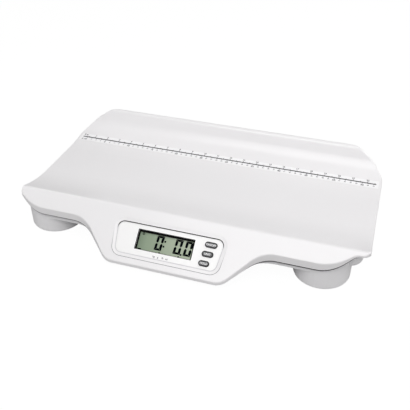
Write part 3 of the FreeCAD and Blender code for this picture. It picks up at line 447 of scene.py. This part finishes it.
def make_ruler():
    """The printed ruler: a pale band, a line from end to end, inches above it and centimetres below."""
    end = RULER_START + RULER_LENGTH
    below, above, past = 11.0 * MM, 9.0 * MM, 4.0 * MM      # how far the band reaches past the line
    band = Print()
    rows = np.linspace(RULER_Y - below, RULER_Y + above, 9)
    for low, high in zip(rows[:-1], rows[1:]):
        band.bar(RULER_START - past, low, end + past, high)
    band.lay("ruler_band", on_tray(PRINT_LIFT / 2), "ruler_band")

    ink = Print()
    half_line, half_tick = 1.25 * MM, 0.42 * MM
    ink.bar(RULER_START, RULER_Y - half_line, end, RULER_Y + half_line)

    inch, long_tick, short_tick = 25.4 * MM, 4.4 * MM, 3.0 * MM
    figure_foot, figure_height = 5.2 * MM, 3.8 * MM
    for half in range(1, int(RULER_LENGTH / inch * 2) + 1):
        x = RULER_START + half * inch / 2
        whole = half % 2 == 0
        ink.bar(x - half_tick, RULER_Y, x + half_tick, RULER_Y + (long_tick if whole else short_tick))
        if whole:
            ink.words(str(half // 2), x, RULER_Y + figure_foot, figure_height)

    centimetre, long_tick, short_tick = 10.0 * MM, 4.0 * MM, 3.0 * MM
    figure_top, large, small = 4.6 * MM, 4.2 * MM, 2.6 * MM
    for mark in range(1, int(RULER_LENGTH / centimetre) + 1):
        x = RULER_START + mark * centimetre
        fifth = mark % 5 == 0
        ink.bar(x - half_tick, RULER_Y - (long_tick if fifth else short_tick), x + half_tick, RULER_Y)
        size = large if fifth else small
        ink.words(str(mark), x, RULER_Y - figure_top - size, size)

    unit_height = 4.0 * MM
    ink.words("0 in", RULER_START, RULER_Y + 4.6 * MM, unit_height, "LEFT")
    ink.words("0 cm", RULER_START, RULER_Y - 9.0 * MM, unit_height, "LEFT")
    ink.lay("ruler_print", on_tray(PRINT_LIFT), "ruler_ink")


# the reading: sizes, then places from the panel's middle and from the crest
DIGIT_WIDTH = 12.4 * MM
DIGIT_HEIGHT = 24.2 * MM
STROKE = 4.25 * MM
LEVEL_STROKE = 3.5 * MM          # the level bars are thinner than the upright ones
SEGMENT_GAP = 0.15 * MM
SLANT = 0.07                     # how far a digit leans to the right, per unit of height
DIGIT_TOP = 38.0 * MM
DIGIT_LEFTS = (-22.0 * MM, 10.0 * MM, 27.3 * MM)
DOT_HALF = 1.45 * MM
DOTS = ((-5.9 * MM, 45.9 * MM), (-6.9 * MM, 54.3 * MM), (24.1 * MM, 61.6 * MM))   # a colon and a point


def nought(ink, left):
    """A slanted nought of six bars with mitred ends, as a seven-segment display shows it."""
    half = DIGIT_HEIGHT / 2

    def put(points, turned):
        """Lean a bar's points; turned puts it in the digit's lower half instead."""
        if turned:
            points = [(x, DIGIT_HEIGHT - y) for x, y in points][::-1]
        ink.polygon([(left + x + (DIGIT_HEIGHT - y) * SLANT, DIGIT_TOP + y) for x, y in points])

    def level(turned):
        outer, inner = SEGMENT_GAP, STROKE + SEGMENT_GAP
        put([(outer, 0), (DIGIT_WIDTH - outer, 0),
             (DIGIT_WIDTH - inner, LEVEL_STROKE), (inner, LEVEL_STROKE)], turned)

    def upright(x, inward, turned):
        tip = half - SEGMENT_GAP
        shoulder = tip - STROKE / 2
        put([(x, SEGMENT_GAP), (x + inward * STROKE, LEVEL_STROKE + SEGMENT_GAP),
             (x + inward * STROKE, shoulder), (x + inward * STROKE / 2, tip), (x, shoulder)], turned)

    for turned in (False, True):
        level(turned)
        upright(0, 1, turned)
        upright(DIGIT_WIDTH, -1, turned)


def ring(ink, side, down, outer, inner):
    """A flat ring, as one face that runs round outside and back inside."""
    turn = np.linspace(0, 2 * math.pi, 25)
    ink.polygon([(side + r * np.cos(a), down + r * np.sin(a))
                 for r, turns in ((outer, turn), (inner, turn[::-1])) for a in turns])


def make_display_digits():
    """The reading on the display, with its colon, its point and three kinds of small marks."""
    ink = Print()
    for left in DIGIT_LEFTS:
        nought(ink, left)
    for side, down in DOTS:
        ink.bar(side - DOT_HALF, down - DOT_HALF, side + DOT_HALF, down + DOT_HALF)
    ring(ink, -44.6 * MM, 39.8 * MM, 2.0 * MM, 1.0 * MM)
    ink.bar(-49.8 * MM, 64.2 * MM, -43.0 * MM, 66.0 * MM)
    half_width, tip, foot = 1.8 * MM, 63.8 * MM, 66.2 * MM
    for side in (-11.6 * MM, 21.0 * MM):
        ink.polygon([(side - half_width, foot), (side + half_width, foot), (side, tip)])
    ink.lay("display_reading", on_panel(GLASS_TOP + GLASS_LIFT), "display_ink")


def recess_outline(inset, count=10):
    """The recess's rounded trapezium, moved inward: four arcs of count points each, as (side, down)."""
    lean = (RECESS_TOP_HALF - RECESS_END_HALF) / RECESS_LENGTH
    slant = math.hypot(1, lean)
    upper = RECESS_TOP_HALF - inset * (slant + lean)
    lower = RECESS_END_HALF - inset * (slant - lean)
    top, end = RECESS_TOP + inset, RECESS_TOP + RECESS_LENGTH - inset
    corners = [Vector(at) for at in ((-upper, top), (upper, top), (lower, end), (-lower, end))]
    radius = RECESS_ROUND - inset
    points = []
    for i, corner in enumerate(corners):
        before = (corners[i - 1] - corner).normalized()
        after = (corners[(i + 1) % 4] - corner).normalized()
        half = before.angle(after) / 2
        centre = corner + (before + after).normalized() * radius / math.sin(half)
        start, stop = (corner + way * radius / math.tan(half) - centre for way in (before, after))
        first = math.atan2(start.y, start.x)
        sweep = (math.atan2(stop.y, stop.x) - first + math.pi) % (2 * math.pi) - math.pi
        turn = first + sweep * np.linspace(0, 1, count)
        points.append(np.column_stack([centre.x + radius * np.cos(turn),
                                       centre.y + radius * np.sin(turn)]))
    return np.concatenate(points)


def make_panel_lines():
    """The joint line round the panel sheet, a real dark joint whose tone is painted shade, near black at
    the top and pale at the bottom, and the edge line of the bevel round it, which is painted shade only,
    pale at the top and grey at the bottom.

    Each is a band of width between two outlines, at a height out from the apron.
    """
    # the joint: a dark joint toned with painted shade; the bevel's edge: painted shade
    for name, inset, width, out, finish in (
            ("panel_joint_shade", RECESS_BEVEL - 0.6 * MM, 1.4 * MM, -0.35 * MM, "joint_shade_line"),
            ("bevel_shade_edge", -0.3 * MM, 0.8 * MM, PANEL_LIFT, "bevel_shade_line")):
        line = Print()
        outer, inner = recess_outline(inset), recess_outline(inset + width)
        count = len(outer)
        for i in range(count):
            after = (i + 1) % count
            line.polygon([outer[i], outer[after], inner[after], inner[i]])
        line.lay(name, on_panel(out), finish)


def make_window_border():
    """A black band along the display window's top and left, painted shade: it stands in for the frame's
    dark inner wall in shadow on those sides.
    """
    ink = Print()
    right, low = WINDOW_LEFT + WINDOW_LENGTH, WINDOW_TOP + WINDOW_HEIGHT
    left_width, top_width = 1.3 * MM, 0.9 * MM
    # painted shade along the window's top and left only
    ink.bar(WINDOW_LEFT - left_width, WINDOW_TOP - top_width, WINDOW_LEFT, low)
    ink.bar(WINDOW_LEFT, WINDOW_TOP - top_width, right, WINDOW_TOP)
    ink.lay("window_shade_band", on_panel(PANEL_TOP + PANEL_LIFT), "frame_black")


def make_legends():
    """Words on the buttons, each riding on its own, and the unit names under the display."""
    word_foot, word_height = 1.5 * MM, 3.3 * MM             # the foot lies below the button's middle
    for index, (key, word) in enumerate((("power", "ON/OFF"), ("unit", "UNIT"), ("hold", "HOLD"))):
        ink = Print()
        middle = KEY_FIRST_DOWN + index * KEY_PITCH
        ink.words(word, KEY_FIRST + index * KEY_STEP, middle + word_foot, word_height, flip=True)
        ink.lay(f"legend_{key}", on_panel(KEY_FACE + PANEL_LIFT), "legend_grey", f"{key}_key")
    ink = Print()
    unit_foot, unit_height = 74.6 * MM, 3.0 * MM
    for side, unit in ((-18.0 * MM, "kg"), (-10.8 * MM, "g"), (-2.8 * MM, "lb"), (3.8 * MM, "oz")):
        ink.words(unit, side, unit_foot, unit_height, flip=True)
    ink.lay("unit_names", on_panel(PANEL_TOP + PANEL_LIFT), "panel_print")


# ---------------------------------------------------------------- painted shadow under the tray's rim


def skirt_point(x):
    """Where the tray's skirt lies at x, and which way it faces; None where no ray finds it.

    Rays come from the front at rising heights, and the first hit on an upright face is the skirt.
    """
    tray = frame["nodes"]["tray_shell"]
    before, step, upright = -300 * MM, 1.5 * MM, 0.05
    for z in np.arange(SKIRT_FRONT[1], SKIRT_EAR[1] + 4 * MM, step):
        hit, where, normal, _ = tray.ray_cast(Vector((x, before, z)), Vector((0, 1, 0)))
        if hit and abs(normal.z) < upright and where.y < SKIRT_EAR[0] + MM:
            return where.x, where.y, normal.x, normal.y
    return None


def make_seam_seals():
    """A dark strip of painted shadow under the skirt, where the tray overhangs the lower shell: a rectangle
    carried along the skirt's lower edge, tucked inward.

    Its height grows from almost nothing at both ends, over a length of taper.
    """
    tuck, depth, height, taper, least = 0.3 * MM, 2.6 * MM, 2.0 * MM, 26 * MM, 0.06
    heights = list(zip(SKIRT_FRONT, SKIRT_LOBE, SKIRT_EAR))
    for side, (start, stop) in zip(("left", "right"), SHADOW_STRIP_SPANS):
        found = [skirt_point(x) for x in np.linspace(start, stop, 90)]
        x, y, out_x, out_y = np.array([point for point in found if point]).T
        edge = np.interp(y, *heights)
        grown = np.clip(np.minimum(x - x[0], x[-1] - x) / taper, least, 1)
        rings = [np.column_stack([x - out_x * inward, y - out_y * inward, edge - drop * grown])
                 for inward, drop in ((tuck, 0), (tuck, height), (depth, height), (depth, 0))]
        points = np.stack(rings, axis=1).reshape(-1, 3)
        row, column = np.meshgrid(np.arange(len(x) - 1), np.arange(4), indexing="ij")
        after = (column + 1) % 4
        here, there = row * 4, (row + 1) * 4
        faces = np.stack([here + column, here + after, there + after, there + column], axis=-1)
        last = 4 * (len(x) - 1)
        ends = [[3, 2, 1, 0], [last, last + 1, last + 2, last + 3]]
        # each strip is painted shadow under the rim, not a part of the scale
        add_piece(f"gap_shadow_strip_{side}", points, faces.reshape(-1, 4).tolist() + ends, "seal_grey")


# ---------------------------------------------------------------- floor, light and camera


FLOOR_REACH = 6.0
FLOOR_GREY = (0.40, 0.40, 0.40)  # the floor under the lamps, which keeps the shadow
FLOOR_GLOW = 1.10                # the white that the camera sees in its place, and the share of it
CAMERA_SHARE = 0.88
AMBIENT = 0.28                   # the world's light on the scale


def make_floor():
    """A pale floor: plain grey with a soft shadow under the lamps, nearly white to the camera."""
    mesh = bpy.data.meshes.new("floor")
    corners = [(x * FLOOR_REACH, y * FLOOR_REACH, 0) for x, y in ((-1, -1), (1, -1), (1, 1), (-1, 1))]
    mesh.from_pydata(corners, [], [(0, 1, 2, 3)])
    floor = bpy.data.objects.new("floor", mesh)
    bpy.context.scene.collection.objects.link(floor)
    paint = Paint("floor_white", base_color=FLOOR_GREY, roughness=0.95)
    nodes, links = paint.tree.nodes, paint.tree.links
    glow = nodes.new("ShaderNodeEmission")
    glow.inputs["Strength"].default_value = FLOOR_GLOW
    mixer = nodes.new("ShaderNodeMixShader")
    path = nodes.new("ShaderNodeLightPath")
    share = Wire(paint, path.outputs["Is Camera Ray"]) * CAMERA_SHARE
    links.new(share.socket, mixer.inputs[0])
    links.new(paint.shader.outputs[0], mixer.inputs[1])
    links.new(glow.outputs[0], mixer.inputs[2])
    # seen from below, the floor is clear, so that the feet and the battery door show
    below = nodes.new("ShaderNodeMixShader")
    clear = nodes.new("ShaderNodeBsdfTransparent")
    side = nodes.new("ShaderNodeNewGeometry")
    links.new(side.outputs["Backfacing"], below.inputs[0])
    links.new(mixer.outputs[0], below.inputs[1])
    links.new(clear.outputs[0], below.inputs[2])
    links.new(below.outputs[0], nodes["Material Output"].inputs["Surface"])
    mesh.materials.append(paint.material)


def make_world():
    """Even light from all round, and plain white where the camera sees past the floor."""
    world = bpy.data.worlds.new("studio")
    bpy.context.scene.world = world
    world.use_nodes = True
    nodes, links = world.node_tree.nodes, world.node_tree.links
    ambient = nodes["Background"]
    ambient.inputs["Color"].default_value = (1, 1, 1, 1)
    ambient.inputs["Strength"].default_value = AMBIENT
    white = nodes.new("ShaderNodeBackground")
    white.inputs["Color"].default_value = (1, 1, 1, 1)
    seen = nodes.new("ShaderNodeLightPath")
    either = nodes.new("ShaderNodeMath")
    either.operation = "MAXIMUM"
    mixer = nodes.new("ShaderNodeMixShader")
    links.new(seen.outputs["Is Camera Ray"], either.inputs[0])
    links.new(seen.outputs["Is Transmission Ray"], either.inputs[1])
    links.new(either.outputs[0], mixer.inputs[0])
    links.new(ambient.outputs[0], mixer.inputs[1])
    links.new(white.outputs[0], mixer.inputs[2])
    links.new(mixer.outputs[0], nodes["World Output"].inputs["Surface"])


def area_light(name, place, aim, size, watts):
    """A square white soft box facing a point."""
    lamp = bpy.data.lights.new(name, "AREA")
    lamp.energy = watts
    lamp.size = size
    box = bpy.data.objects.new(name, lamp)
    box.location = place
    box.rotation_euler = (Vector(aim) - Vector(place)).to_track_quat("-Z", "Y").to_euler()
    bpy.context.scene.collection.objects.link(box)


def make_lights():
    """A large soft key from the front, a top box, a weak fill, and two small low boxes for the legs."""
    middle = (0, 0, 0.05)
    area_light("key", (0.2, -1.5, 2.3), middle, 2.2, 46.0)
    area_light("top", (1.3, 0.7, 1.6), middle, 1.4, 13.0)
    area_light("fill", (-1.8, -0.4, 1.1), middle, 1.0, 2.0)
    area_light("low right", (1.7, 0.0, 0.2), middle, 0.5, 2.4)
    area_light("low left", (-1.5, -0.9, 0.2), middle, 0.5, 1.2)


CAMERA_PLACE = Vector((0.2723, -0.8346, 0.6563))
CAMERA_RIGHT = Vector((0.9518, 0.3068, 0.0))
CAMERA_FORWARD = Vector((-0.2498, 0.7752, -0.5802))
FOCAL_PIXELS = 605.0             # the lens's length in pixels of a square image this many pixels wide
IMAGE_PIXELS = 410.0
SENSOR = 36.0


def make_camera():
    """A level camera above the front right corner."""
    lens = bpy.data.cameras.new("camera")
    lens.sensor_width = SENSOR
    lens.lens = FOCAL_PIXELS / IMAGE_PIXELS * SENSOR
    camera = bpy.data.objects.new("camera", lens)
    back = -CAMERA_FORWARD.normalized()
    right = CAMERA_RIGHT.normalized()
    up = back.cross(right)
    turn = Matrix((right, up, back)).transposed()
    camera.matrix_world = Matrix.Translation(CAMERA_PLACE) @ turn.to_4x4()
    bpy.context.scene.collection.objects.link(camera)
    bpy.context.scene.camera = camera


bpy.context.scene.view_settings.view_transform = "Standard"
make_camera()
make_lights()
make_floor()
make_world()
dress_nodes()
TRAY_HEIGHTS = tray_heights()
make_ruler()
make_seam_seals()
make_display_digits()
make_panel_lines()
make_window_border()
make_legends()
